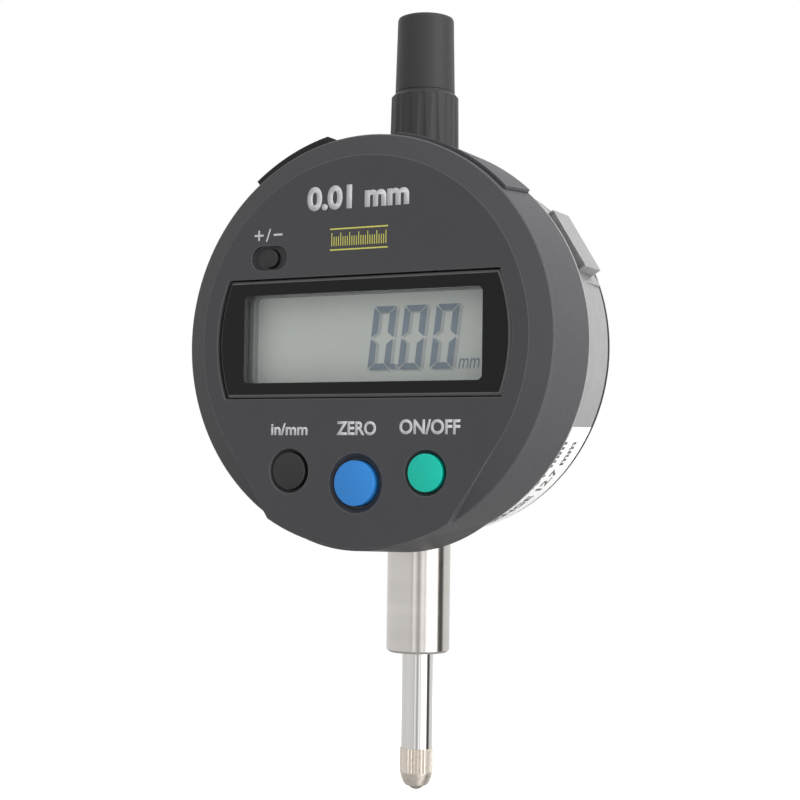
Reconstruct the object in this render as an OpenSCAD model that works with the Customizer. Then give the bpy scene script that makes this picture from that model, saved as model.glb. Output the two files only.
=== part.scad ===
// Digital plunger indicator with a plain stem, a lug back, four push buttons and a spring-returned spindle.
// The spindle runs along Z. The origin is on the spindle axis, level with the lowest point of the case rim.
// The display faces -Y. Inside at_face() the face plane is y = 0 and the centre of the face is x = z = 0.

/* [Case] */
// Diameter of the case rim
rim_d = 59; // [58.8:0.1:59.6]
// Diameter of the flat round face
flat_d = 52.6; // [52:0.1:53]
// Depth of the sloping edge between face and rim
bevel_depth = 1.34; // [1.2:0.02:1.5]
// Depth of the dark front case
front_depth = 14; // [14:0.1:14.2]
// Angle below the horizontal where each face crease starts
crease_angle = 33.5; // [30:0.5:36]
// Diameter of the rear case at its front
rear_d = 57; // [56.8:0.1:57.4]
// Face plane to the back of the rear case
rear_depth = 25.5; // [25.5:0.1:25.8]
// Thickness of the back cover
cover_t = 1.8; // [1.6:0.1:2.2]

/* [Stem and spindle] */
// Distance from the face plane back to the spindle axis
spindle_y = 20; // [20:0.05:20.1]
// Diameter of the mounting stem
stem_d = 9.525; // [9.4:0.025:9.55]
// Length of the stem below the rim
stem_len = 16.2; // [15:0.1:18]
// Diameter of the spindle
spindle_d = 4.7; // [4.6:0.05:4.8]
// Distance from the rim down to the end of the spindle
spindle_drop = 30.6; // [29:0.1:32]
// Stroke of the spindle
stroke = 12.7; // [10:0.1:12.7]
// Diameter of the ball in the contact point
ball_d = 3; // [2.8:0.1:3.1]

/* [Display] */
// Radius of the curved ends of the display opening
window_r = 23.85; // [23.6:0.05:24]
// Top of the display opening above the face centre
window_top = 9.3; // [9.2:0.05:9.4]
// Bottom of the display opening below the face centre
window_bottom = 8.3; // [8.2:0.05:8.4]
// Half the width of the visible screen
screen_half_w = 19.3; // [18.8:0.1:19.4]
// Top of the visible screen above the face centre
screen_top = 6.9; // [6.5:0.1:7]
// Bottom of the visible screen below the face centre
screen_bottom = 5.95; // [5.5:0.05:6]

/* [Buttons] */
// Distance from the face centre to the two outer lower buttons, sideways
side_button_x = 11.05; // [10.8:0.05:11.3]
// Height of the two outer lower buttons below the face centre
side_button_drop = 18.7; // [18.5:0.1:18.9]
// Height of the zero button below the face centre
zero_button_drop = 20.3; // [20.2:0.1:20.5]
// Diameter of the two outer lower buttons
small_button_d = 5.3; // [5:0.1:5.4]
// Diameter of the zero button
zero_button_d = 6.4; // [6:0.1:6.6]
// Diameter of the sign button
sign_button_d = 2.55; // [2.4:0.05:2.6]
// Travel of every button
button_travel = 0.4; // [0.3:0.05:0.4]

/* [Lug] */
// Radius of the hole in the lug
lug_hole_r = 3.25; // [3.1:0.05:3.3]
// Thickness of the lug
lug_t = 5; // [4:0.5:7]

/* [Hidden] */
$fn = 96;

rim_r = rim_d / 2;
flat_r = flat_d / 2;
wall = 1.9;                 // side wall of the front case
inner_r = rim_r - wall;     // inside of the front case
face_t = 2.2;               // thickness of the face
rear_r = rear_d / 2;        // rear case at its front
rear_end_r = rear_r - 0.5;  // rear case at its back
rear_inner_r = 26.5;
seam = 0.05;                // joint between front and rear case
lip_t = 0.4;                // thin lip of the rear case behind the front case
lip_r = rim_r;
foot_span = 29;             // half the angle of the raised foot at the bottom of the front case
foot_front_rise = 0.35;     // how far the foot stands below the rim
foot_rear_rise = 1.05;
// Centre and rear radius of the foot's own arc, which meets the rim at both ends of the span
foot_drop = foot_rear_rise * (rim_r + foot_rear_rise / 2)
    / (rim_r + foot_rear_rise - rim_r * cos(foot_span));
foot_r = rim_r + foot_rear_rise - foot_drop;
rear_y = front_depth + seam;
lip_y = rear_y + lip_t;
eps = 0.01;

stem_r = stem_d / 2;
stem_neck_r = 4;            // part of the stem pressed into the case
spindle_r = spindle_d / 2;
running_gap = 0.05;
seat_z = 28.4;              // flats on the rear case for stem and cap, from the face centre
boss_end = 23;              // inner end of the stem and sleeve bosses
frame_bar_z = 20;           // inner faces of the guide frame's cross bars
sleeve_r = 3.75;
bush_r = 2.9;

// Display stack, front to back
bezel_y = 0.3;
lens_y = 1.35;
bezel_back_y = 2.9;
lcd_frame_y = 2.95;
lcd_y = 4.12;
lcd_back_y = 5.4;
board_y = 7.2;
board_back_y = 8.2;
window_gap = 0.2;
screen_corner_r = 0.8;

// Buttons: [sideways, up, radius]
unit_at = [-side_button_x, -side_button_drop, small_button_d / 2];
zero_at = [0, -zero_button_drop, zero_button_d / 2];
power_at = [side_button_x, -side_button_drop, small_button_d / 2];
sign_at = [-15, 12.3, sign_button_d / 2];
button_gap = 0.15;
flange_y = face_t + seam;
button_end_y = 4.3;
switch_y = button_end_y + button_travel + 0.2;
plunger_end_y = 6.1;

// Screws into the front case that hold the board, and screws that join the cases
post_at = [[-4.5, 13.2], [-17.6, -11.6], [17.6, -11.6], [17.8, 11.6]];
case_boss_r = 25.4;
case_boss_angles = [30, 150, 215, 325];
back_boss_r = 24.6;
back_boss_angles = [45, 135, 225, 315];

// Cell tray slides out along this direction, connector looks out along the other
tray_angle = 62.5;
tray_span = 18.6;           // half the angle the tray's outer plate covers
tray_half_w = 6.7;
tray_in = 14.5;             // inner end of the tray from the spindle-side centre
tray_y = [4, 11];
cell_r = 5.8;
cell_t = 5.4;
cell_at = tray_in + 0.9 + cell_r;
plug_angle = 116;
plug_y = [8.5, 12];
plug_half_w = 4.4;

// Moving parts, heights from the face centre at rest
carrier_z = [-18.4, -9];
collar_z = [-9, -8];
guide_pin_z = -14;
guide_pin_r = 0.8;
spring_wire_r = 0.2;
spring_r = 3.25;
spring_turns = 11;
spindle_top = 31;
cap_bottom = 28.7;
cap_collar_top = 38.6;
cap_joint = 39.3;
cap_top = 51;

// ---- placing and shaping helpers ----

// Moves what was drawn from the face centre to the model's frame
module at_face() { translate([0, -spindle_y, rim_r]) children(); }

// Moves what was drawn around the spindle axis, heights from the face centre
module on_spindle() { translate([0, 0, rim_r]) children(); }

// Extrudes an outline in X and Z from y0 back to y1
module slab(y0, y1) { translate([0, y1, 0]) rotate([90, 0, 0]) linear_extrude(y1 - y0) children(); }

// A rod along Y
module rod_y(r, y0, y1) { translate([0, y1, 0]) rotate([90, 0, 0]) cylinder(r = r, h = y1 - y0); }

// A rod along the spindle
module rod_z(r, z0, z1) { translate([0, 0, z0]) cylinder(r = r, h = z1 - z0); }

// A tube along the spindle
module tube_z(r_out, r_in, z0, z1) {
    difference() {
        rod_z(r_out, z0, z1);
        rod_z(r_in, z0 - eps, z1 + eps);
    }
}

// A box from its two corners
module block(a, b) { translate(a) cube(b - a); }

// Rectangle with round corners in an outline
module round_rect(x0, z0, x1, z1, r) {
    translate([x0 + r, z0]) square([x1 - x0 - 2 * r, z1 - z0]);
    translate([x0, z0 + r]) square([x1 - x0, z1 - z0 - 2 * r]);
    for (x = [x0 + r, x1 - r], z = [z0 + r, z1 - r]) translate([x, z]) circle(r, $fn = 32);
}

// The part of a ring between two angles
module ring_part(r_in, r_out, a0, a1) {
    intersection() {
        difference() {
            circle(r_out);
            circle(r_in);
        }
        polygon([[0, 0], for (i = [0:4]) let (a = a0 + (a1 - a0) * i / 4) 2 * r_out * [cos(a), sin(a)]]);
    }
}

// Outline of the display opening made smaller by gap
module window_outline(gap) {
    intersection() {
        circle(window_r - gap);
        translate([-window_r, -window_bottom + gap])
            square([2 * window_r, window_top + window_bottom - 2 * gap]);
    }
}

module screen_outline(grow) {
    round_rect(-screen_half_w - grow, -screen_bottom - grow, screen_half_w + grow, screen_top + grow,
        screen_corner_r);
}

// Turns what is drawn along +X to point outward at an angle in the face plane
module outward(angle) { rotate([0, -angle, 0]) children(); }

// A round pan head screw along Y: head first, then the shank going forward or back
module screw_y(head_r, head_y0, head_y1, shank_r, shank_y0, shank_y1, slot_y0, slot_y1) {
    difference() {
        union() {
            rod_y(head_r, head_y0, head_y1);
            rod_y(shank_r, shank_y0, shank_y1);
        }
        for (turn = [0, 90])
            rotate([0, turn, 0])
                block([-0.65 * head_r, slot_y0, -0.14 * head_r], [0.65 * head_r, slot_y1, 0.14 * head_r]);
    }
}

// ---- front case ----

module face_platform() {
    crease_dir = [-sin(crease_angle), -cos(crease_angle)];
    crease_start = flat_r * [cos(crease_angle), -sin(crease_angle)];
    crease_end = crease_start + 20 * crease_dir;
    intersection() {
        circle(rim_r);
        polygon([
            crease_start, crease_end, [crease_end.x, -rim_d], [-crease_end.x, -rim_d],
            [-crease_end.x, crease_end.y], [-crease_start.x, crease_start.y]
        ]);
    }
}

module front_shell() {
    rotate([-90, 0, 0])
        rotate_extrude($fn = 180)
            polygon([
                [0, 0], [flat_r, 0], [rim_r - 0.15, bevel_depth - 0.06], [rim_r, bevel_depth + 0.12],
                [rim_r, front_depth], [inner_r, front_depth], [inner_r, face_t], [0, face_t]
            ]);
    slab(0, bevel_depth) face_platform($fn = 180);
    // Raised foot over the stem: a cone of a tighter radius, a little deeper towards the back
    intersection() {
        translate([0, 0, -foot_drop])
            rotate([-90, 0, 0])
                rotate_extrude($fn = 180)
                    polygon([
                        [foot_r - 3, 0.1], [foot_r + foot_front_rise - foot_rear_rise, 0.1],
                        [foot_r, front_depth - 0.05], [foot_r - 3, front_depth - 0.05]
                    ]);
        slab(0, front_depth) ring_part(rim_r - 1, 32, -90 - foot_span, -90 + foot_span);
    }
}

module button_dish(at, top_r, neck_r, depth) {
    translate([at.x, 0, at.y])
        rotate([-90, 0, 0]) {
            translate([0, 0, -eps]) cylinder(r1 = top_r, r2 = neck_r, h = depth + eps);
            cylinder(r = at.z + button_gap, h = face_t + 1);
        }
}

module sign_recess() {
    slab(-1, 0.9)
        translate([sign_at.x, sign_at.y]) {
            translate([-1.3, -1.8]) square([2.6, 3.6]);
            for (x = [-1.3, 1.3]) translate([x, 0]) circle(1.8);
        }
    translate([sign_at.x, 0, sign_at.y]) rod_y(sign_at.z + button_gap, -1, face_t + 1);
}

module front_case() {
    color("#48484b")
        at_face()
            difference() {
                union() {
                    front_shell();
                    for (p = post_at) translate([p.x, 0, p.y]) rod_y(1.4, face_t - eps, board_y);
                    for (a = case_boss_angles)
                        outward(a) translate([case_boss_r, 0, 0]) rod_y(2.3, face_t - eps, 13.1);
                }
                slab(-1, face_t + 1) window_outline(0);
                button_dish(unit_at, 3.29, 2.85, 0.8);
                button_dish(zero_at, 4.31, 3.5, 1);
                button_dish(power_at, 3.27, 2.85, 0.8);
                sign_recess();
                for (p = post_at) translate([p.x, 0, p.y]) rod_y(0.6, face_t + 1, board_y + 1);
                for (a = case_boss_angles)
                    outward(a) translate([case_boss_r, 0, 0]) rod_y(0.75, 6, front_depth);
                outward(tray_angle)
                    block([20, tray_y[0] - 0.2, -tray_half_w - 0.2],
                          [40, tray_y[1] + 0.2, tray_half_w + 0.2]);
                outward(plug_angle)
                    block([22, plug_y[0] - 0.2, -plug_half_w - 0.2],
                          [40, plug_y[1] + 0.2, plug_half_w + 0.2]);
            }
}

// ---- display ----

module display_bezel() {
    edge = 0.45;
    r = window_r - window_gap;
    top = window_top - window_gap;
    bottom = -window_bottom + window_gap;
    color("#1b1a1a")
        at_face()
            difference() {
                union() {
                    intersection() {
                        rotate([-90, 0, 0])
                            rotate_extrude($fn = 180)
                                polygon([
                                    [0, bezel_y], [r - edge, bezel_y], [r, bezel_y + edge],
                                    [r, bezel_back_y], [0, bezel_back_y]
                                ]);
                        rotate([90, 0, 90])
                            translate([0, 0, -window_r])
                                linear_extrude(2 * window_r)
                                    polygon([
                                        [bezel_y, bottom + edge], [bezel_y + edge, bottom],
                                        [bezel_back_y, bottom], [bezel_back_y, top],
                                        [bezel_y + edge, top], [bezel_y, top - edge]
                                    ]);
                    }
                    slab(face_t + seam, bezel_back_y) window_outline(-0.6);
                }
                slab(0, bezel_back_y + 1) screen_outline(0);
                slab(lens_y, bezel_back_y + 1) screen_outline(0.9);
            }
}

module display_lens() {
    color("#dfe6e8", 0.35) at_face() slab(lens_y, bezel_back_y - 0.05) screen_outline(0.85);
}

module lcd_frame() {
    color("#454747")
        at_face()
            difference() {
                slab(lcd_frame_y, 6.2) round_rect(-21.2, -window_bottom, 21.2, 9.1, 0.6);
                slab(lcd_frame_y - 1, 7) screen_outline(0);
                slab(lcd_y - 0.02, 7) round_rect(-20.4, -7.5, 20.4, 8.3, 0.3);
            }
}

module lcd_panel() {
    color("#9ba09e") at_face() slab(lcd_y, lcd_back_y) translate([-20.2, -7.3]) square([40.4, 15.4]);
}

module lcd_strips() {
    color("#b0607a")
        at_face()
            for (z = [-6.9, 6.7])
                block([-18, lcd_back_y + 0.02, z], [18, board_y - 0.02, z + 1]);
}

// ---- electronics ----

module main_board() {
    color("#1f5a35")
        at_face()
            slab(board_y, board_back_y)
                difference() {
                    circle(25.2);
                    for (a = case_boss_angles) rotate(a) translate([case_boss_r, 0]) circle(2.7);
                    for (p = post_at) translate(p) circle(0.9, $fn = 32);
                    rotate(tray_angle)
                        translate([tray_in - 1, -tray_half_w - 0.5])
                            square([20, 2 * tray_half_w + 1]);
                }
}

module processor_chip() {
    color("#202022")
        at_face() {
            block([2, board_back_y, -8], [10, board_back_y + 1, 0]);
            for (i = [0:8]) {
                block([2.5 + i * 0.8, board_back_y, -8.7], [2.8 + i * 0.8, board_back_y + 0.3, -8 + eps]);
                block([2.5 + i * 0.8, board_back_y, -eps], [2.8 + i * 0.8, board_back_y + 0.3, 0.7]);
            }
        }
}

module crystal() {
    color("#b9bcc0") at_face() slab(board_back_y, board_back_y + 1.6) round_rect(-9, -9, -6, -1, 1.4);
}

module capacitors() {
    color("#a3835a")
        at_face() {
            for (i = [0:5]) translate([-16 + i * 3.2, board_back_y, -13.5]) cube([2, 0.9, 1.2]);
            for (x = [12, 16]) translate([x, 0, -4]) rod_y(1.7, board_back_y, board_back_y + 2.4);
        }
}

module resistors() {
    color("#2b2b2e")
        at_face()
            for (i = [0:7]) translate([-14 + i * 3.6, board_back_y, -17]) cube([1.6, 0.5, 0.8]);
}

module tact_switches() {
    color("#2a2a2d")
        at_face()
            for (at = [unit_at, zero_at, power_at, sign_at])
                translate([at.x, 0, at.y])
                    difference() {
                        block([-1.8, switch_y, -1.8], [1.8, board_y, 1.8]);
                        rod_y(1, switch_y - 1, plunger_end_y + button_travel + 0.1);
                    }
}

module board_screws() {
    color("#c9cbce")
        at_face()
            for (p = post_at)
                translate([p.x, 0, p.y])
                    screw_y(1.3, board_back_y, board_back_y + 0.9, 0.6, 3.6, board_back_y + eps,
                        board_back_y + 0.5, board_back_y + 2);
}

module case_gasket() {
    color("#2c2c2c")
        at_face()
            slab(13.2, rear_y)
                difference() {
                    circle(inner_r - 0.03);
                    circle(27);
                }
}

// ---- rear case ----

block_angle = 31.5;         // middle of the raised block
block_half_w = 4.9;
block_face_r = 29.5;        // distance of its flat from the face centre
block_seat_half_w = 6.2;    // wider, lower flat that the block stands on
block_seat_r = 27.7;

module rear_ring() {
    rotate([-90, 0, 0])
        rotate_extrude($fn = 180)
            polygon([
                [rear_inner_r, rear_y], [lip_r, rear_y], [lip_r, lip_y], [rear_r, lip_y],
                [rear_end_r, rear_depth], [rear_inner_r, rear_depth]
            ]);
}

module rear_case() {
    color("#b9b9b9")
        at_face()
            difference() {
                union() {
                    rear_ring();
                    outward(block_angle)
                        block([rear_inner_r + 0.2, 17, -block_half_w], [block_face_r, 23, block_half_w]);
                    outward(block_angle)
                        block([rear_inner_r + 0.4, 17.4, -block_seat_half_w],
                            [block_seat_r, rear_depth - 0.15, block_seat_half_w]);
                    for (a = case_boss_angles)
                        outward(a) translate([case_boss_r, 0, 0]) rod_y(2, rear_y + 0.2, 16.5);
                    for (a = back_boss_angles)
                        outward(a) translate([back_boss_r, 0, 0]) rod_y(2.2, 17.2, rear_depth - 0.2);
                    translate([0, spindle_y, 0]) {
                        rod_z(5.2, 0.8 - seat_z, -boss_end);
                        rod_z(5.2, boss_end, seat_z + 0.2);
                    }
                }
                // Hollow in front of the raised block
                outward(block_angle)
                    block([27.3, lip_y + 0.1, 0.3 - block_half_w], [rim_r + 1, 17 + 0.2, block_half_w - 0.3]);
                for (a = case_boss_angles)
                    outward(a) translate([case_boss_r, 0, 0]) {
                        rod_y(0.95, rear_y - 1, 17);
                        rod_y(1.65, 16.5, 19);
                    }
                for (a = back_boss_angles)
                    outward(a) translate([back_boss_r, 0, 0]) rod_y(0.8, 18.4, rear_depth + 1);
                translate([0, spindle_y, 0]) {
                    rod_z(stem_neck_r, -rim_r, -boss_end + 1);
                    translate([0, 0, -rim_r - 5]) cylinder(r = 5.3, h = rim_r + 5 - seat_z);
                    rod_z(sleeve_r, boss_end - 1, rim_r);
                }
            }
}

module case_screws() {
    color("#c9cbce")
        at_face()
            for (a = case_boss_angles)
                outward(a)
                    translate([case_boss_r, 0, 0])
                        screw_y(1.5, 16.5, 17.5, 0.75, 8.5, 16.5 + eps, 17, 18.5);
}

module back_cover() {
    end_y = rear_depth + cover_t;
    lug_reach = 7.6;        // lug hole behind the back face
    lug_round = 5.4;
    color("#1d1d1e")
        at_face()
            difference() {
                union() {
                    rotate([-90, 0, 0])
                        rotate_extrude($fn = 180)
                            polygon([
                                [0, rear_depth], [rear_end_r - 0.05, rear_depth],
                                [rear_end_r - 0.05, rear_depth + 0.9],
                                [rear_end_r - 0.4, end_y - 0.2], [rear_end_r - 0.8, end_y], [0, end_y]
                            ]);
                    // Raised pad around the lug
                    rod_y(11, rear_depth, end_y + 0.6);
                    rotate([90, 0, 90])
                        translate([0, 0, -lug_t / 2])
                            linear_extrude(lug_t) {
                                translate([end_y + lug_reach, 0]) circle(lug_round);
                                translate([rear_depth, -lug_round])
                                    square([cover_t + lug_reach, 2 * lug_round]);
                            }
                }
                translate([0, end_y + lug_reach, 0])
                    rotate([0, 90, 0])
                        translate([0, 0, -lug_t])
                            cylinder(r = lug_hole_r, h = 2 * lug_t);
                for (a = back_boss_angles)
                    outward(a) translate([back_boss_r, 0, 0]) {
                        rod_y(0.9, rear_depth - 1, end_y + 1);
                        rod_y(1.7, end_y - 0.9, end_y + 1);
                    }
            }
}

module back_cover_screws() {
    end_y = rear_depth + cover_t;
    color("#c9cbce")
        at_face()
            for (a = back_boss_angles)
                outward(a)
                    translate([back_boss_r, 0, 0])
                        screw_y(1.55, end_y - 0.9, end_y - 0.1, 0.8, 19.5, end_y - 0.9 + eps,
                            end_y - 0.6, end_y + 1);
}

module rating_label() {
    label_t = 0.08;
    label_gap = 0.03;
    y0 = lip_y + 0.25;
    y1 = rear_depth - 0.25;
    slope = (rear_end_r - rear_r) / (rear_depth - lip_y);
    r0 = rear_r + slope * (y0 - lip_y) + label_gap;
    r1 = rear_r + slope * (y1 - lip_y) + label_gap;
    color("#f4f4f2")
        at_face()
            intersection() {
                rotate([-90, 0, 0])
                    rotate_extrude($fn = 180)
                        polygon([[r0, y0], [r0 + label_t, y0], [r1 + label_t, y1], [r1, y1]]);
                slab(rear_y, rear_depth) ring_part(20, 32, -76, -24.6);
            }
}

// ---- stem, sleeve and bushes ----

module stem() {
    bottom = -stem_len;
    color("#b8b4ae")
        difference() {
            union() {
                rotate_extrude()
                    polygon([
                        [0, bottom], [stem_r - 0.35, bottom], [stem_r, bottom + 0.35],
                        [stem_r, rim_r - seat_z], [0, rim_r - seat_z]
                    ]);
                rod_z(stem_neck_r, 0, rim_r - frame_bar_z - 0.2);
            }
            rod_z(bush_r, bottom - 1, rim_r);
            rod_z(3.4, bottom - 1, bottom + 0.9);
        }
}

module lower_bush() {
    color("#b08d4f")
        tube_z(bush_r, spindle_r + running_gap, -stem_len + 0.95, -stem_len + 9);
}

module spindle_seal() {
    color("#232323") tube_z(3.38, spindle_r + 0.08, -stem_len + 0.25, -stem_len + 0.9);
}

module upper_sleeve() {
    color("#a9a9aa") on_spindle() tube_z(sleeve_r, bush_r, frame_bar_z, 34);
}

module upper_bush() {
    color("#b08d4f") on_spindle() tube_z(bush_r, spindle_r + running_gap, frame_bar_z + 2, 33);
}

// ---- measuring frame ----

module guide_frame() {
    bar_x = [8.5, 13];
    y0 = 12.8 - spindle_y;
    y1 = 22 - spindle_y;
    pin_y = 1;
    color("#8f9194")
        on_spindle()
            difference() {
                union() {
                    for (side = [-1, 1])
                        translate([side < 0 ? -bar_x[1] : bar_x[0], y0, -frame_bar_z])
                            cube([bar_x[1] - bar_x[0], y1 - y0, 2 * frame_bar_z]);
                    for (z = [-boss_end, frame_bar_z])
                        block([-bar_x[1], 15.2 - spindle_y, z],
                            [bar_x[1], 24.6 - spindle_y, z + boss_end - frame_bar_z]);
                }
                rod_z(stem_neck_r, -boss_end - 1, -frame_bar_z + 1);
                rod_z(sleeve_r, frame_bar_z - 1, boss_end + 1);
                // Slot that the guide pin runs in
                block([-bar_x[1] - 1, pin_y - guide_pin_r - running_gap, guide_pin_z - guide_pin_r - 0.1],
                    [-bar_x[0] + 1, pin_y + guide_pin_r + running_gap,
                     guide_pin_z + stroke + guide_pin_r + 0.1]);
                for (x = [-10.75, 10.75], z = [-6, 10])
                    translate([x, 0, z]) rod_y(0.6, y0 - 1, y0 + 4);
            }
}

module end_stop() {
    color("#2a2a2a") on_spindle() tube_z(5.5, bush_r, -frame_bar_z, carrier_z[0] - 0.1);
}

module sensor_board() {
    color("#2a6b45")
        at_face()
            slab(11.8, 12.8)
                difference() {
                    translate([-12.5, -8]) square([25, 20]);
                    for (x = [-10.75, 10.75], z = [-6, 10]) translate([x, z]) circle(0.75, $fn = 32);
                }
}

module sensor_screws() {
    color("#c9cbce")
        at_face()
            for (x = [-10.75, 10.75], z = [-6, 10])
                translate([x, 0, z]) screw_y(1.1, 11.1, 11.8, 0.6, 11.8 - eps, 15.8, 10, 11.4);
}

module flex_cable() {
    color("#b5702f")
        at_face()
            translate([-4, 0, 0])
                rotate([90, 0, 90])
                    linear_extrude(8)
                        polygon([
                            [board_back_y, -11.5], [board_back_y + 0.15, -11.5], [board_back_y + 0.15, -9.8],
                            [12.95, -9.8], [12.95, -6], [12.8, -6], [12.8, -9.65], [board_back_y, -9.65]
                        ]);
}

module data_connector() {
    color("#202022")
        at_face()
            outward(plug_angle)
                difference() {
                    block([19.5, board_back_y, -plug_half_w], [26.5, 12, plug_half_w]);
                    block([22, board_back_y + 0.7, -plug_half_w + 0.8], [27, 11.3, plug_half_w - 0.8]);
                }
}

module connector_contacts() {
    color("#d6b254")
        at_face()
            outward(plug_angle)
                for (i = [-2:2])
                    block([22, board_back_y + 1.4, i * 1.3 - 0.25],
                          [25.5, board_back_y + 1.8, i * 1.3 + 0.25]);
}

module cell_spring_contact() {
    color("#cfcfc9")
        at_face()
            outward(tray_angle)
                difference() {
                    block([tray_in, 3.35, -1.6], [26.4, 3.95, 1.6]);
                    block([tray_in + 1.2, 3.65, -2], [24, 4.5, 2]);
                }
}

module cell_plate_contact() {
    color("#cfcfc9")
        at_face()
            outward(tray_angle)
                block([tray_in - 0.6, 5, -2.2], [tray_in - 0.3, 9.2, 2.2]);
}

// ---- spindle and what rides on it ----

// Coil of wire: each ring of points is centred on the helix
module return_spring() {
    sides = 8;
    steps = 14 * spring_turns;
    z0 = collar_z[1] + spring_wire_r;
    z1 = frame_bar_z - spring_wire_r;
    points = [
        for (i = [0:steps])
            let (a = 360 * i * spring_turns / steps, z = z0 + (z1 - z0) * i / steps)
                for (k = [0:sides - 1])
                    let (b = 360 * k / sides, r = spring_r + spring_wire_r * cos(b))
                        [r * cos(a), r * sin(a), z + spring_wire_r * sin(b)]
    ];
    faces = concat(
        [[for (k = [0:sides - 1]) k]],
        [
            for (i = [0:steps - 1], k = [0:sides - 1])
                let (n = (k + 1) % sides)
                    [i * sides + k, (i + 1) * sides + k, (i + 1) * sides + n, i * sides + n]
        ],
        [[for (k = [sides - 1:-1:0]) steps * sides + k]]
    );
    color("#9b9da0") on_spindle() polyhedron(points, faces);
}

module spindle() {
    color("#d2d0cc")
        difference() {
            rod_z(spindle_r, -spindle_drop, rim_r + spindle_top);
            rod_z(1.25, -spindle_drop - 1, -spindle_drop + 5);
        }
}

contact_r = 2.5;
knurl_len = 3.6;
ball_z = -spindle_drop - 6.25 + ball_d / 2;

module contact_point() {
    teeth = 28;
    bottom = -spindle_drop - knurl_len;
    color("#b9b2a6")
        difference() {
            union() {
                rod_z(1.2, -spindle_drop - eps, -spindle_drop + 4.5);
                translate([0, 0, bottom])
                    linear_extrude(knurl_len)
                        difference() {
                            circle(contact_r);
                            for (i = [0:teeth - 1])
                                rotate(360 * i / teeth)
                                    translate([contact_r, 0])
                                        rotate(45)
                                            square(0.24, center = true);
                        }
                rotate_extrude()
                    polygon([
                        [0, bottom + eps], [contact_r - 0.05, bottom + eps], [contact_r - 0.1, bottom - 0.3],
                        [contact_r - 0.3, bottom - 1], [1.85, bottom - 1.75],
                        [1.55, bottom - 2], [0, bottom - 2]
                    ]);
            }
            translate([0, 0, ball_z]) sphere(d = ball_d);
        }
}

module contact_ball() {
    color("#c8cacc") translate([0, 0, ball_z]) sphere(d = ball_d);
}

module scale_carrier() {
    color("#c2c4c6")
        on_spindle()
            difference() {
                union() {
                    block([-4.6, 15.6 - spindle_y, carrier_z[0]], [4.6, 3.6, carrier_z[1]]);
                    block([-3.5, 13.9 - spindle_y, carrier_z[0] + 1],
                          [3.5, 15.7 - spindle_y, carrier_z[1] - 1]);
                }
                rod_z(spindle_r, carrier_z[0] - 1, carrier_z[1] + 1);
                // Bore for the guide pin
                translate([-5, 1, guide_pin_z]) rotate([0, 90, 0]) cylinder(r = guide_pin_r, h = 1.6);
                // Bore for the clamp screw
                translate([2.4, 1, -11]) rotate([0, 90, 0]) cylinder(r = 0.7, h = 3);
            }
}

module carrier_screw() {
    color("#55565a")
        on_spindle()
            translate([0, 1, -11])
                rotate([0, 90, 0])
                    difference() {
                        union() {
                            translate([0, 0, 2.4]) cylinder(r = 0.7, h = 2.25);
                            translate([0, 0, 4.6]) cylinder(r = 1.2, h = 0.9);
                        }
                        translate([0, 0, 5]) cylinder(r = 0.6, h = 1, $fn = 6);
                    }
}

module encoder_scale() {
    color("#86a5a0") at_face() block([-4, 13.1, -20], [4, 13.9, 8]);
}

module guide_pin() {
    color("#c8cacc")
        on_spindle()
            translate([-12.4, 1, guide_pin_z])
                rotate([0, 90, 0])
                    cylinder(r = guide_pin_r, h = 9);
}

module stop_collar() {
    color("#c8cacc") on_spindle() tube_z(4.2, spindle_r, collar_z[0], collar_z[1]);
}

// ---- cap over the top of the spindle ----

cap_r = [5.3, 5.13, 4.56, 4.3];     // collar bottom and top, smooth part bottom and top
cap_bore_top = 34.4;
cap_inside_top = 49.2;

module spindle_cap() {
    flutes = 16;
    flute_r = 1.7;
    flute_depth = 0.2;
    edge = 0.45;
    color("#464644")
        on_spindle()
            difference() {
                rotate_extrude()
                    polygon([
                        [0, cap_bottom], [cap_r[0], cap_bottom], [cap_r[1], cap_collar_top],
                        [cap_r[2] + 0.02, cap_joint - 0.1], [cap_r[2] - 0.12, cap_joint - 0.1],
                        [cap_r[2] - 0.12, cap_joint + 0.06], [cap_r[2], cap_joint + 0.16],
                        [cap_r[3], cap_top - edge], [cap_r[3] - 0.13, cap_top - 0.13],
                        [cap_r[3] - edge, cap_top], [cap_r[3] - 2, cap_top + 0.2], [0, cap_top + 0.3]
                    ]);
                for (i = [0:flutes - 1])
                    rotate(360 * i / flutes)
                        translate([cap_r[0] + flute_r - flute_depth - 0.06, 0, cap_bottom - 1])
                            cylinder(r = flute_r, h = cap_collar_top - cap_bottom + 1);
                rod_z(sleeve_r + running_gap, cap_bottom - 1, cap_bore_top);
                rod_z(3.3, cap_bottom, cap_inside_top);
            }
}

// ---- cell tray and cell ----

module cell_tray() {
    plate_r = rim_r + 0.55;
    plate_y = 2.3;
    color("#4b4b4e")
        at_face()
            difference() {
                union() {
                    difference() {
                        slab(plate_y, front_depth - 0.2)
                            ring_part(rim_r + 0.06, plate_r,
                                      tray_angle - tray_span, tray_angle + tray_span, $fn = 180);
                        // Lower end, cut at a slant
                        outward(tray_angle)
                            translate([0, plate_y, -plate_r * sin(tray_span)])
                                rotate([9, 0, 0])
                                    block([22, -2, -4], [rim_r + 2, front_depth + 2, 0]);
                    }
                    intersection() {
                        outward(tray_angle)
                            block([tray_in, tray_y[0], -tray_half_w], [40, tray_y[1], tray_half_w]);
                        rod_y(rim_r + 0.3, 0, front_depth);
                    }
                }
                outward(tray_angle) translate([cell_at, 0, 0])
                    rod_y(cell_r + 0.05, 0, tray_y[0] + cell_t + 0.2);
                // Opening that lets the plate contact reach the cell
                outward(tray_angle)
                    block([tray_in - 1, 4.8, -2.4], [tray_in + 2, 9.4, 2.4]);
            }
}

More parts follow.
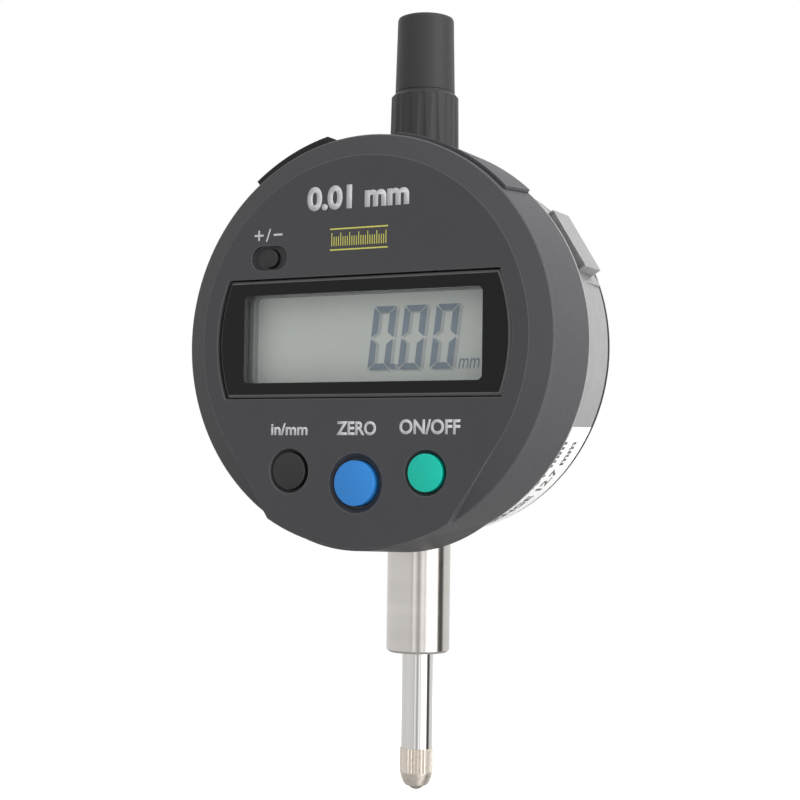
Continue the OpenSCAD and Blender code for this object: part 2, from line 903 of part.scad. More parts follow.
module coin_cell() {
    y0 = tray_y[0] + 0.2;
    color("#c9cbcd")
        at_face()
            outward(tray_angle)
                translate([cell_at, 0, 0]) {
                    rod_y(cell_r - 0.9, y0, y0 + 0.3);
                    rod_y(cell_r, y0 + 0.3 - eps, y0 + cell_t);
                }
}

// ---- connector cover ----

module connector_cover() {
    cover_r = rim_r + 1.35;
    ends = [103, 128];
    color("#19191a")
        at_face() {
            slab(2.6, front_depth - 0.3)
                difference() {
                    ring_part(rim_r + 0.06, cover_r, ends[0], ends[1], $fn = 180);
                    // Sloping end towards the cap
                    rotate(ends[0]) translate([rim_r + 0.1, 0]) rotate(-50) translate([0, -3]) square([6, 3]);
                    // Rounded end away from the cap
                    rotate(ends[1]) translate([rim_r + 0.5, 0]) rotate(35) square([6, 3]);
                }
            intersection() {
                outward(plug_angle)
                    block([26.6, plug_y[0], -plug_half_w], [40, plug_y[1], plug_half_w]);
                rod_y(rim_r + 0.5, 0, front_depth);
            }
        }
}

// ---- buttons ----

// Domed head, flange behind the face and a stem that reaches the switch
module push_button(at, proud, dome_r, flange_r, stem_r) {
    at_face()
        translate([at.x, 0, at.y]) {
            intersection() {
                rod_y(at.z, -proud, flange_y + eps);
                translate([0, dome_r - proud, 0]) sphere(r = dome_r);
            }
            rod_y(flange_r, flange_y, flange_y + 0.6);
            rod_y(stem_r, flange_y + 0.6 - eps, button_end_y);
        }
}

module plunger(at) { at_face() translate([at.x, 0, at.y]) rod_y(0.9, button_end_y, plunger_end_y); }

module unit_button() { color("#222223") push_button(unit_at, 0.25, 14, 3.6, 1); }
module zero_button() { color("#3d8bcd") push_button(zero_at, 0.75, 16, 4.2, 1); }
module power_button() { color("#16be9f") push_button(power_at, 0.45, 14, 3.6, 1); }
module sign_button() { color("#333335") push_button(sign_at, -0.05, 8, 1.9, 0.9); }
module unit_plunger() { color("#8a2f2a") plunger(unit_at); }
module zero_plunger() { color("#8a2f2a") plunger(zero_at); }
module power_plunger() { color("#8a2f2a") plunger(power_at); }
module sign_plunger() { color("#8a2f2a") plunger(sign_at); }

front_case();
display_bezel();
display_lens();
lcd_frame();
lcd_panel();
lcd_strips();
main_board();
processor_chip();
crystal();
capacitors();
resistors();
tact_switches();
board_screws();
case_gasket();
rear_case();
case_screws();
back_cover();
back_cover_screws();
rating_label();
stem();
lower_bush();
spindle_seal();
upper_sleeve();
upper_bush();
guide_frame();
end_stop();
sensor_board();
sensor_screws();
flex_cable();
data_connector();
connector_contacts();
cell_spring_contact();
cell_plate_contact();
return_spring();
spindle();
contact_point();
contact_ball();
scale_carrier();
carrier_screw();
encoder_scale();
guide_pin();
stop_collar();
spindle_cap();
cell_tray();
coin_cell();
connector_cover();
unit_button();
unit_plunger();
zero_button();
zero_plunger();
power_button();
power_plunger();
sign_button();
sign_plunger();
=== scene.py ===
"""Looks of a round digital plunger indicator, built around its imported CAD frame."""
import math

import bpy
from mathutils import Matrix, Vector


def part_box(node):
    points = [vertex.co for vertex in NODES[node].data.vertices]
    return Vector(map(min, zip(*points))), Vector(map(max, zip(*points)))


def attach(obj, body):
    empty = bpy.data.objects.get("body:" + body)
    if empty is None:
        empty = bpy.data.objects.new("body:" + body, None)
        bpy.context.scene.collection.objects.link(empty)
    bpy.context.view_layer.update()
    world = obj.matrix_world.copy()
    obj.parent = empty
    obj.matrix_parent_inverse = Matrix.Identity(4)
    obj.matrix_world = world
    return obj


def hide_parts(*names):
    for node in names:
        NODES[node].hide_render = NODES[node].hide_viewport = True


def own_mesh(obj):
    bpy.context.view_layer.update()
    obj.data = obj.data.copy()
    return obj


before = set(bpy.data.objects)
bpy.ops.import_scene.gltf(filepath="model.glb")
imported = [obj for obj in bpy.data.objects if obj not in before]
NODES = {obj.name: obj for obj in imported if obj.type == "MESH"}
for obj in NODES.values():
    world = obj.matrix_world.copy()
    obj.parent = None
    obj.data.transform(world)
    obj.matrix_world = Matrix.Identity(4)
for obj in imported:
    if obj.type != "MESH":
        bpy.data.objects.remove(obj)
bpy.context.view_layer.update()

MM = 0.001

# The face frame: X right, Z up from the centre of the flat face, Y back from the face.
CASE_LOW, CASE_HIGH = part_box("front_case")
RIM_R = (CASE_HIGH.x - CASE_LOW.x) / 2
FACE = Vector(((CASE_HIGH.x + CASE_LOW.x) / 2, CASE_LOW.y, CASE_HIGH.z - RIM_R))
PANEL_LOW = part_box("lcd_panel")[0]
TIP_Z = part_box("contact_ball")[0].z


# ---- materials ----

HIGHLIGHT_AND_WEAR_EDGE = (0.975, 0.9985)    # rounded normal along the flat one: edge fully lightened (painted highlight and wear), and clean
BEVEL_SAMPLES = 4
RECESS_SAMPLES = 8
RECESS_OPEN = (0.3, 0.8)       # openness where the painted shade is full, and of an open surface


def add_node(tree, kind, inputs=None, **settings):
    """Adds a shader node; an input is a value or another node's output."""
    made = tree.nodes.new("ShaderNode" + kind)
    for key, value in settings.items():
        setattr(made, key, value)
    for key, value in (inputs or {}).items():
        if isinstance(value, bpy.types.NodeSocket):
            tree.links.new(value, made.inputs[key])
        else:
            made.inputs[key].default_value = value
    return made


class Surface:
    """One procedural material: a Principled shader fed by patterns in object space."""

    def __init__(self, name, color, roughness, metallic=0.0, **constants):
        self.material = bpy.data.materials.new(name)
        self.material.use_nodes = True
        self.tree = self.material.node_tree
        self.shader = self.tree.nodes["Principled BSDF"]
        self.shader.inputs["Base Color"].default_value = (*color, 1)
        self.shader.inputs["Roughness"].default_value = roughness
        self.shader.inputs["Metallic"].default_value = metallic
        for key, value in constants.items():
            self.shader.inputs[key.replace("_", " ")].default_value = value
        self.place = self.node("TexCoord").outputs["Object"]
        self.base = None
        self.color = color
        self.normal = None

    def node(self, kind, inputs=None, **settings):
        """Adds a node to this material."""
        return add_node(self.tree, kind, inputs, **settings)

    def show(self, shader):
        """Makes a shader the one that the surface shows."""
        self.tree.links.new(shader, self.tree.nodes["Material Output"].inputs["Surface"])

    def scaled(self, size, stretch=(1, 1, 1)):
        """Object coordinates in units of size mm, stretched along the axes."""
        scale = [1 / (MM * size * s) for s in stretch]
        return self.node("Mapping", {"Vector": self.place, "Scale": scale}).outputs[0]

    def noise(self, size, detail=2, stretch=(1, 1, 1)):
        """Noise whose features are about size mm across."""
        inputs = {"Vector": self.scaled(size, stretch), "Scale": 1.0, "Detail": detail}
        return self.node("TexNoise", inputs).outputs["Fac"]

    def cells(self, size):
        """Distance from scattered points about size mm apart."""
        inputs = {"Vector": self.scaled(size), "Scale": 1.0}
        return self.node("TexVoronoi", inputs, feature="F1").outputs["Distance"]

    def stripes(self, pitch, axis):
        """Even stripes across an axis, pitch mm apart."""
        inputs = {"Vector": self.scaled(pitch), "Scale": math.tau / 20}
        return self.node("TexWave", inputs, bands_direction=axis).outputs["Fac"]

    def span(self, factor, low, high, start=0.3, end=0.7):
        """Maps a factor from start..end to low..high."""
        inputs = {"Value": factor, "From Min": start, "From Max": end,
                  "To Min": low, "To Max": high}
        return self.node("MapRange", inputs).outputs[0]

    def layer(self, mask, color):
        """Lays a colour over what is there, where the mask is 1."""
        under = self.base or (*self.color, 1)
        mix = self.node("Mix", data_type="RGBA")
        for key, value in (("Factor", mask), ("A", under), ("B", (*color, 1))):
            socket = next(s for s in mix.inputs if s.name == key and s.enabled)
            if isinstance(value, bpy.types.NodeSocket):
                self.tree.links.new(value, socket)
            else:
                socket.default_value = value
        self.base = next(s for s in mix.outputs if s.enabled)
        self.tree.links.new(self.base, self.shader.inputs["Base Color"])

    def mottle(self, size, amount, detail=3, stretch=(1, 1, 1)):
        """Lets the colour drift lighter by amount, in patches of size mm."""
        lighter = [min(1, c * (1 + amount)) for c in self.color]
        mask = self.span(self.noise(size, detail, stretch), 0, 1)
        self.layer(mask, lighter)

    def rough(self, size, low, high, stretch=(1, 1, 1)):
        """Roughness that varies from low to high, in patches of size mm."""
        value = self.span(self.noise(size, 3, stretch), low, high)
        self.tree.links.new(value, self.shader.inputs["Roughness"])

    def bump(self, height, depth):
        """Relief of depth mm from a height pattern."""
        inputs = {"Height": height, "Distance": depth * MM, "Strength": 1.0}
        if self.normal:
            inputs["Normal"] = self.normal
        self.normal = self.node("Bump", inputs).outputs[0]
        self.tree.links.new(self.normal, self.shader.inputs["Normal"])

    def soft_edges(self, radius, color=None):
        """Rounds the look of sharp edges, and paints them a lighter colour: a painted highlight
        along them, and wear.
        """
        inputs = {"Radius": radius * MM}
        rounded = self.node("Bevel", inputs, samples=BEVEL_SAMPLES).outputs[0]
        if color:
            flat = self.node("NewGeometry").outputs["Normal"]
            inputs = {0: rounded, 1: flat}
            along = self.node("VectorMath", inputs, operation="DOT_PRODUCT").outputs["Value"]
            # painted highlight and wear: edges lightened towards the given colour
            self.layer(self.span(along, 1, 0, *HIGHLIGHT_AND_WEAR_EDGE), color)
        self.normal = rounded
        self.tree.links.new(rounded, self.shader.inputs["Normal"])

    def painted_recess_shade(self, reach, color):
        """Paints shade into each narrow recess, reach mm across, darkening it towards a colour."""
        inputs = {"Distance": reach * MM}
        ambient = self.node("AmbientOcclusion", inputs, samples=RECESS_SAMPLES)
        # painted shade: darker where the surface is more enclosed
        self.layer(self.span(ambient.outputs["AO"], 1, 0, *RECESS_OPEN), color)

    def facing(self, axis):
        """How squarely the surface faces along an axis of the object, from 0 to 1."""
        normal = self.node("TexCoord").outputs["Normal"]
        apart = self.node("SeparateXYZ", {"Vector": normal})
        return self.node("Math", {0: apart.outputs[axis]}, operation="ABSOLUTE").outputs[0]


def moulded(name, color, grain=0.22, roughness=0.5, edge=0.12, gloss=0.3, edge_highlight_and_wear=2.0):
    """Injection-moulded plastic: fine spark-eroded grain, soft edges painted lighter by a factor:
    a painted highlight, and wear.
    """
    surface = Surface(name, color, roughness, Specular_IOR_Level=gloss)
    surface.mottle(9, 0.05)
    # painted highlight and wear on the edges
    surface.soft_edges(edge, [min(1, c * edge_highlight_and_wear + 0.01) for c in color])
    surface.rough(0.8, roughness - 0.03, roughness + 0.03)
    surface.bump(surface.noise(grain, 2), 0.003)
    return surface


def polished(name, color, roughness, lines, depth):
    """Ground or drawn metal: fine lines stretched along the axes, and a little uneven wear."""
    surface = Surface(name, color, roughness, 1.0)
    surface.mottle(4, -0.12, stretch=lines)
    surface.rough(3, roughness * 0.8, roughness * 1.3, lines)
    surface.bump(surface.noise(0.05, 2, lines), depth)
    return surface


def dark_plastic():
    return moulded("moulded_dark_case", (0.054, 0.054, 0.058), edge=0.15, edge_highlight_and_wear=2.6)


def cap_plastic():
    return moulded("moulded_dark_cap", (0.036, 0.036, 0.037), 0.16, 0.46, 0.1, edge_highlight_and_wear=1.5)


def black_gloss():
    """Gloss black bezel with a painted grey highlight on its chamfer, its sides painted lighter
    than its front, faint smears and specks of dust.
    """
    black = (0.004, 0.0037, 0.0037)
    surface = Surface("gloss_black", black, 0.09, Specular_IOR_Level=0.25)
    dust = surface.span(surface.cells(1.3), 1, 0, 0.02, 0.05)
    surface.layer(dust, (0.03, 0.03, 0.03))
    front = surface.facing("Y")
    # painted highlight: faces turned away from the front, the chamfer among them, painted grey
    surface.layer(surface.span(front, 1, 0, 0.85, 0.95), (0.19, 0.19, 0.19))
    # painted light on the sides: faces turned furthest from the front painted a dark grey, lighter
    # than the front's black
    surface.layer(surface.span(front, 1, 0, 0.3, 0.5), (0.05, 0.05, 0.05))
    surface.rough(7, 0.06, 0.16, (1, 1, 2.5))
    surface.soft_edges(0.1)
    surface.bump(surface.noise(5, 1), 0.004)
    return surface


def clear_lens():
    """Clear window: mostly see-through, with a faint smeared reflection."""
    surface = Surface("clear_window", (1, 1, 1), 0.05)
    clear = surface.node("BsdfTransparent", {"Color": (0.985, 0.99, 0.985, 1)}).outputs[0]
    smear = surface.span(surface.noise(6, 3, (1, 1, 2)), 0.02, 0.12)
    gloss = surface.node("BsdfGlossy", {"Roughness": smear}).outputs[0]
    slanting = surface.node("LayerWeight", {"Blend": 0.5}).outputs["Facing"]
    shine = surface.span(slanting, 0.02, 0.6, 0.3, 1)
    surface.show(surface.node("MixShader", {0: shine, 1: clear, 2: gloss}).outputs[0])
    surface.tree.nodes.remove(surface.shader)
    return surface


def grey_plastic():
    return moulded("moulded_grey_frame", (0.28, 0.285, 0.285), 0.15, 0.55)


def lcd_glass():
    """Reflective liquid crystal: fine grain of the polariser and reflector."""
    surface = Surface("liquid_crystal", (0.60, 0.63, 0.615), 0.4, Specular_IOR_Level=0.3)
    surface.mottle(0.14, 0.06, 1)
    surface.mottle(14, -0.05)
    surface.rough(0.5, 0.35, 0.45)
    return surface


def lcd_ink():
    surface = Surface("liquid_crystal_dark", (0.21, 0.26, 0.32), 0.4)
    surface.mottle(0.14, 0.12, 1)
    surface.mottle(1.6, -0.06)
    return surface


def lcd_shade(share):
    """What a dark segment casts on the reflector: a share of the panel's brightness."""
    name = f"segment_shadow_{round(share * 100)}"
    color = [c * share for c in (0.60, 0.63, 0.64)]
    surface = Surface(name, color, 0.4, Specular_IOR_Level=0.3)
    surface.mottle(0.14, 0.06, 1)
    surface.rough(0.5, 0.35, 0.45)
    return surface


def printed(name, color):
    """Screen-printed ink: slightly uneven, with pinholes of the plastic under it."""
    surface = Surface(name, color, 0.5)
    surface.mottle(0.8, -0.10)
    surface.layer(surface.span(surface.cells(0.4), 0.25, 0, 0.03, 0.10), (0.1, 0.1, 0.1))
    surface.rough(1, 0.45, 0.6)
    surface.bump(surface.noise(0.25), 0.003)
    return surface


def strip_rubber():
    """Layered connector strip: thin dark conducting layers in pale rubber."""
    surface = Surface("layered_rubber", (0.55, 0.50, 0.50), 0.7)
    surface.layer(surface.stripes(0.35, "X"), (0.02, 0.02, 0.02))
    surface.bump(surface.noise(0.2), 0.01)
    return surface


def board():
    """Circuit board: green solder mask over traces, with tinned pads."""
    surface = Surface("green_board", (0.006, 0.060, 0.022), 0.32)
    traces = surface.node("TexBrick", {"Vector": surface.scaled(1), "Scale": 0.45,
                                       "Mortar Size": 0.09, "Brick Width": 1.7}).outputs["Fac"]
    surface.layer(traces, (0.015, 0.13, 0.045))
    surface.layer(surface.span(surface.cells(2.4), 1, 0, 0.10, 0.13), (0.6, 0.57, 0.5))
    surface.rough(1.5, 0.25, 0.4)
    surface.bump(traces, 0.02)
    return surface


def black_plastic():
    return moulded("moulded_black_part", (0.011, 0.011, 0.0115), 0.12, 0.5, 0.06, 0.2, 1.6)


def tin_steel():
    return polished("drawn_tin_steel", (0.62, 0.61, 0.58), 0.3, (1, 1, 1), 0.0006)


def capacitor_tan():
    surface = Surface("fired_ceramic", (0.38, 0.27, 0.16), 0.45)
    surface.mottle(0.3, 0.25)
    surface.bump(surface.noise(0.15), 0.006)
    return surface


def screw_steel():
    return polished("plated_screw_steel", (0.55, 0.55, 0.54), 0.28, (1, 1, 1), 0.0006)


def black_rubber():
    surface = Surface("black_rubber", (0.012, 0.012, 0.012), 0.85)
    surface.mottle(0.7, 0.6)
    surface.bump(surface.noise(0.25, 4), 0.02)
    return surface


def silver_metal():
    """Satin die casting: fine blasted grain, painted shade in each narrow recess, edges painted
    brighter: a painted highlight, and wear.
    """
    surface = Surface("satin_silver", (0.45, 0.45, 0.455), 0.36, 0.75)
    surface.mottle(6, -0.06)
    # edges painted brighter: a painted highlight, and wear
    surface.soft_edges(0.12, (0.75, 0.75, 0.76))
    # painted shade in each narrow recess
    surface.painted_recess_shade(2.2, (0.10, 0.10, 0.10))
    surface.rough(2, 0.32, 0.42)
    surface.bump(surface.noise(0.2, 2), 0.006)
    return surface


def label_white():
    """White film label with a faint fibre in its surface."""
    surface = Surface("white_film", (0.87, 0.87, 0.86), 0.5)
    surface.mottle(3, -0.04)
    surface.rough(1, 0.4, 0.5)
    surface.bump(surface.noise(0.4, 3), 0.004)
    return surface


def label_ink():
    return printed("grey_ink", (0.12, 0.12, 0.125))


def stem_steel():
    """Ground stem: very fine lines round it."""
    return polished("ground_steel", (0.70, 0.665, 0.63), 0.15, (6, 6, 1), 0.0003)


def bronze():
    return polished("bush_bronze", (0.62, 0.40, 0.20), 0.3, (1, 1, 1), 0.0006)


def flex_film():
    """Amber film cable with copper lines along it."""
    surface = Surface("amber_film", (0.45, 0.18, 0.03), 0.3)
    surface.layer(surface.stripes(0.5, "X"), (0.55, 0.27, 0.10))
    surface.bump(surface.noise(0.5), 0.003)
    return surface


def gold_contact():
    return polished("gold_plate", (0.85, 0.60, 0.25), 0.2, (1, 1, 1), 0.0004)


def spring_steel():
    return polished("spring_wire", (0.52, 0.52, 0.52), 0.22, (1, 1, 1), 0.0004)


def spindle_steel():
    """Hardened, polished spindle with faint lines of its travel."""
    return polished("polished_steel", (0.78, 0.765, 0.745), 0.08, (1, 1, 60), 0.00015)


def contact_steel():
    """Knurled contact body: warm grey plated steel, its crests painted brighter: a painted
    highlight, and wear.
    """
    surface = Surface("knurled_steel", (0.72, 0.655, 0.58), 0.32, 0.9)
    surface.mottle(0.5, 0.2)
    # crests painted brighter: a painted highlight, and wear
    surface.soft_edges(0.05, (0.82, 0.77, 0.70))
    surface.rough(0.6, 0.28, 0.42)
    surface.bump(surface.noise(0.12), 0.004)
    return surface


def ball_steel():
    return polished("hard_ball", (0.54, 0.49, 0.44), 0.16, (1, 1, 1), 0.0003)


def scale_glass():
    """Glass-fibre scale with its fine copper pattern."""
    surface = Surface("scale_pattern", (0.02, 0.10, 0.06), 0.3)
    surface.layer(surface.stripes(0.6, "Z"), (0.60, 0.40, 0.2))
    surface.bump(surface.stripes(0.6, "Z"), 0.01)
    return surface


def cell_steel():
    return polished("cell_can", (0.66, 0.66, 0.65), 0.2, (1, 1, 1), 0.0004)


def cover_black():
    return moulded("moulded_black_cover", (0.009, 0.0095, 0.010), 0.2, 0.42, 0.12)


def button_black():
    return moulded("button_black_moulding", (0.026, 0.026, 0.027), 0.14, 0.42, 0.14, edge_highlight_and_wear=2.4)


def button_blue():
    return moulded("button_blue_moulding", (0.028, 0.215, 0.60), 0.14, 0.35, 0.2, edge_highlight_and_wear=1.25)


def button_green():
    return moulded("button_green_moulding", (0.003, 0.49, 0.37), 0.14, 0.35, 0.2, edge_highlight_and_wear=1.2)


def plunger_red():
    surface = Surface("red_silicone", (0.35, 0.02, 0.015), 0.6)
    surface.mottle(0.6, 0.3)
    surface.bump(surface.noise(0.2), 0.006)
    return surface


FINISHES = (
    dark_plastic, cap_plastic, black_gloss, clear_lens, grey_plastic, lcd_glass, strip_rubber,
    board, black_plastic, tin_steel, capacitor_tan, screw_steel, black_rubber, silver_metal,
    label_white, stem_steel, bronze, flex_film, gold_contact, spring_steel, spindle_steel,
    contact_steel, ball_steel, scale_glass, cell_steel, cover_black, button_black, button_blue,
    button_green, plunger_red,
)


def finish_nodes():
    """Gives every CAD node the finish named by its material slot."""
    made = {build.__name__: build().material for build in FINISHES}
    for node in NODES.values():
        slot = node.material_slots[0]
        slot.material = made[slot.material.name]


# ---- small pieces that the CAD leaves out ----

def add_piece(name, vertices, faces, material, body):
    """Makes one mesh piece that rides on a body."""
    mesh = bpy.data.meshes.new(name)
    mesh.from_pydata(vertices, [], faces)
    mesh.update()
    mesh.materials.append(material)
    piece = bpy.data.objects.new(name, mesh)
    bpy.context.scene.collection.objects.link(piece)
    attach(piece, body)
    return piece


def plates(name, outlines, y, thickness, material):
    """Thin plates in front of the case: outlines are (x, z) rings in mm, anticlockwise."""
    vertices, faces = [], []
    for ring in outlines:
        start, count = len(vertices), len(ring)
        for depth in (y, y + thickness):
            vertices += [FACE + Vector((x, depth, z)) * MM for x, z in ring]
        front = [start + i for i in range(count)]
        back = [start + count + i for i in range(count)]
        faces += [front, back[::-1]]
        for i in range(count):
            j = (i + 1) % count
            faces.append([front[j], front[i], back[i], back[j]])
    add_piece(name, vertices, faces, material, "case")


def bar(x0, x1, z0, z1):
    """Outline of an upright rectangle."""
    return [(x0, z0), (x1, z0), (x1, z1), (x0, z1)]


INK_T = 0.012             # thickness of printed ink, mm
INK_Y = -INK_T
FONT_STEPS = 6            # steps of each curve of a letter
BOLD = 0.045              # of the larger lettering
# Each legend's node name, words, middle (x, z), width and height in mm.
LEGENDS = (("print_unit", "in/mm", (-11.1, -12.7), 6.2, 1.75),
           ("print_zero", "ZERO", (0, -12.55), 6.4, 2.0),
           ("print_power", "ON/OFF", (11.6, -12.35), 9.4, 2.1))
RESOLUTION_AT = (-0.35, 20.5)
RESOLUTION_SIZE = (16.6, 3.5)
SIGN_Z = 15.7             # middle of the plus and minus signs
SIGN_T = 0.15             # half their stroke
RULE_X = (-4.75, 4.65)    # ends of the row of graduations
RULE_Z = (12.95, 15.95)
RULE_T = 0.1              # half the thickness of its two long lines
TICK_T = 0.065            # half the thickness of a tick
TICKS = 24
LONG_EVERY = 4            # ticks from one long one to the next
TICK_MARGIN = 0.3         # from an end of the row to its first tick
LONG_TICK = 0.55          # distance of a long tick's top from the upper line
SHORT_TICK = 1.1


def on_face(centre, y=INK_Y):
    """Places text flat in front of the case, with its middle at centre (x, z) in mm."""
    return lambda u, v: FACE + Vector((centre[0] + u, y, centre[1] + v)) * MM


def lettering(name, words, place, width, height, material, slot="label_white", boldness=0.03,
              slant=0.0):
    """Generic lettering of a width and height in mm; place maps its points to the object."""
    curve = bpy.data.curves.new(name, "FONT")
    curve.body = words
    curve.offset = boldness
    curve.shear = slant
    curve.resolution_u = FONT_STEPS
    text = bpy.data.objects.new(name, curve)
    mesh = bpy.data.meshes.new_from_object(text)
    bpy.data.objects.remove(text)
    xs = [v.co.x for v in mesh.vertices]
    ys = [v.co.y for v in mesh.vertices]
    scale_x = width / (max(xs) - min(xs))
    scale_y = height / (max(ys) - min(ys))
    mid_x, mid_y = (max(xs) + min(xs)) / 2, (max(ys) + min(ys)) / 2
    for v in mesh.vertices:
        v.co = place((v.co.x - mid_x) * scale_x, (v.co.y - mid_y) * scale_y)
    mesh.name = name
    mesh.materials.clear()
    mesh.materials.append(material)
    piece = bpy.data.objects.new(name, mesh)
    bpy.context.scene.collection.objects.link(piece)
    solid = piece.modifiers.new("ink", "SOLIDIFY")
    solid.thickness = INK_T * MM
    solid.offset = -1
    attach(piece, "case")


def plus_or_minus():
    """Outlines of a plus sign, a slanting stroke and a minus sign."""
    low, high = SIGN_Z - SIGN_T, SIGN_Z + SIGN_T
    plus = [bar(-17.6, -16.05, low, high), bar(-16.97, -16.68, 14.95, low),
            bar(-16.97, -16.68, high, 16.45)]
    stroke = [(-15.65, 14.75), (-15.4, 14.75), (-14.75, 16.6), (-15.0, 16.6)]
    minus = bar(-14.3, -12.8, low, high)
    return plus + [stroke, minus]


def graduations():
    """Outlines of two long lines and the row of ticks between them."""
    (left, right), (low, high) = RULE_X, RULE_Z
    rules = [bar(left, right, z - RULE_T, z + RULE_T) for z in RULE_Z]
    for i in range(TICKS + 1):
        x = left + TICK_MARGIN + i * (right - left - 2 * TICK_MARGIN) / TICKS
        top = high - (LONG_TICK if i % LONG_EVERY == 0 else SHORT_TICK)
        rules.append(bar(x - TICK_T, x + TICK_T, low + LONG_TICK, top))
    return rules


def face_printing():
    """Function names over the buttons, the resolution, and a small row of graduations."""
    white = printed("white_ink", (0.56, 0.56, 0.58)).material
    yellow = printed("yellow_ink", (0.62, 0.59, 0.12)).material
    for name, words, middle, width, height in LEGENDS:
        lettering(name, words, on_face(middle), width, height, white)
    place = on_face(RESOLUTION_AT)
    lettering("print_resolution", "0.01 mm", place, *RESOLUTION_SIZE, white, boldness=BOLD)
    plates("print_sign", plus_or_minus(), INK_Y, INK_T, white)
    plates("print_graduations", graduations(), INK_Y, INK_T, yellow)


# ---- display ----

DIGIT_W = 3.6          # width of a digit, mm
DIGIT_H = 9.15         # height of a digit
STROKE = 0.98          # width of a segment
GAP = 0.07             # gap at a segment's end
SLANT = 0.12           # sideways lean per height
POINTED = 0.1          # half the gap between the points of two upright segments
MITRE = 0.12           # where the outer corner of a segment is cut off
SHOULDER = 0.85        # length of an upright segment's point, in strokes
FLAT_T = 0.95          # thickness of a level segment, in strokes
DIGIT_LOW = -4.1       # lower edge of the digits, above the face centre
DIGIT_X = (-0.62, 4.32, 9.38)
POINT_X = (3.12, 3.95)               # decimal point
POINT_Z = (0.1, 0.85)                # above the digits' lower edge
UNIT_AT = (15.55, 0.72)              # middle of the unit, above the digits' lower edge
UNIT_SIZE = (3.3, 1.45)
UNIT_SLANT = 0.25
SEGMENT_LIFT = 0.06                  # lit segments in front of the panel
SEGMENT_T = 0.01
SHADOW_SHIFT = (0.45, -0.12)
SHADOWS = ((0.1, 0.84), (-0.1, 0.70))    # growth in mm and share of the panel's brightness
SHADOW_LIFT = 0.014
SHADOW_STEP = 0.012                  # the inner shadow lies in front of the outer one
SHADOW_T = 0.004


def segments(x0):
    """Outlines of the six lit segments of a zero, leaning to the right."""
    w, h, t, g = DIGIT_W, DIGIT_H, STROKE, GAP
    mid, tip, cut = h / 2, POINTED, MITRE
    side = [[(0, cut + g), (t, t + g), (t, mid - t * SHOULDER), (0, mid - tip)],
            [(0, mid + tip), (t, mid + t * SHOULDER), (t, h - t - g), (0, h - cut - g)]]
    flat = [(cut + g, 0), (w - cut - g, 0), (w - t - g, t * FLAT_T), (t + g, t * FLAT_T)]
    rings = side + [flat]
    rings += [[(w - x, z) for x, z in ring][::-1] for ring in side]
    rings.append([(x, h - z) for x, z in flat][::-1])
    return [[(x0 + x + z * SLANT, DIGIT_LOW + z) for x, z in ring] for ring in rings]


def grown(ring, by):
    """A ring pushed outwards from its middle."""
    mid_x = sum(p[0] for p in ring) / len(ring)
    mid_z = sum(p[1] for p in ring) / len(ring)
    return [(x + math.copysign(by, x - mid_x), z + math.copysign(by, z - mid_z)) for x, z in ring]


def display():
    """Lit segments just in front of the panel, and their soft shadow on it."""
    panel_y = (PANEL_LOW.y - FACE.y) / MM
    point = bar(*POINT_X, DIGIT_LOW + POINT_Z[0], DIGIT_LOW + POINT_Z[1])
    rings = [ring for x0 in DIGIT_X for ring in segments(x0)] + [point]
    ink = lcd_ink().material
    front = panel_y - SEGMENT_LIFT
    plates("lcd_digits", rings, front, SEGMENT_T, ink)
    right, up = SHADOW_SHIFT
    for i, (by, share) in enumerate(SHADOWS):
        cast = [[(x + right, z + up) for x, z in grown(ring, by)] for ring in rings]
        shade = lcd_shade(share).material
        lift = SHADOW_LIFT + SHADOW_STEP * i
        plates(f"lcd_shadow_{i}", cast, panel_y - lift, SHADOW_T, shade)
    place = on_face((UNIT_AT[0], DIGIT_LOW + UNIT_AT[1]), front)
    lettering("lcd_unit", "mm", place, *UNIT_SIZE, ink, "lcd_glass", 0, UNIT_SLANT)


# ---- label ----

# Each line's words, distance behind the face and length in mm.
LABEL_LINES = (("0.01 mm", 17.2, 10.5), ("RANGE 12.7 mm", 21.1, 19.5))
LABEL_TEXT_HIGH = 2.2
LABEL_END = -29.5         # angle of the text's right end, degrees above level
LABEL_LIFT = 0.02         # outer face of the ink over the label
EDGE_WIDTH = 0.01         # vertices this near to an edge of the label belong to it


def on_label(end, y, length):
    """Places text round the label, its right end at an angle in degrees, its tops to the front."""
    points = [v.co - FACE for v in NODES["rating_label"].data.vertices]
    edges = (min(p.y for p in points), max(p.y for p in points))
    radii = [max(math.hypot(p.x, p.z) for p in points if abs(p.y - edge) < EDGE_WIDTH * MM)
             for edge in edges]
    slope = (radii[1] - radii[0]) / (edges[1] - edges[0])

    def place(u, v):
        back = (y - v) * MM
        radius = radii[0] + slope * (back - edges[0]) + LABEL_LIFT * MM
        angle = math.radians(end) + (u - length / 2) * MM / radius
        return FACE + Vector((radius * math.cos(angle), back, radius * math.sin(angle)))
    return place


def label_printing():
    """The range and the resolution in generic print on the label."""
    ink = label_ink().material
    for i, (words, y, length) in enumerate(LABEL_LINES):
        place = on_label(LABEL_END, y, length)
        lettering(f"label_print_{i}", words, place, length, LABEL_TEXT_HIGH, ink)


# ---- return spring ----

SPRING_WIRE = 0.2         # radius of the wire, mm
SPRING_TURNS = 11
TURN_SIDES = 24           # steps in each turn
WIRE_SIDES = 10           # points round the wire


def coil_points(low, high, steps):
    """Rings of points round a wire that winds up from the bottom of a box to its top."""
    wire = SPRING_WIRE * MM
    middle = (low + high) / 2
    radius = (high.x - low.x) / 2 - wire
    rise = high.z - low.z - 2 * wire
    points = []
    for i in range(steps + 1):
        turn = math.tau * i / TURN_SIDES
        z = low.z + wire + rise * i / steps
        for k in range(WIRE_SIDES):
            side = math.tau * k / WIRE_SIDES
            r = radius + wire * math.cos(side)
            x, y = r * math.cos(turn), r * math.sin(turn)
            points.append(Vector((middle.x + x, middle.y + y, z + wire * math.sin(side))))
    return points


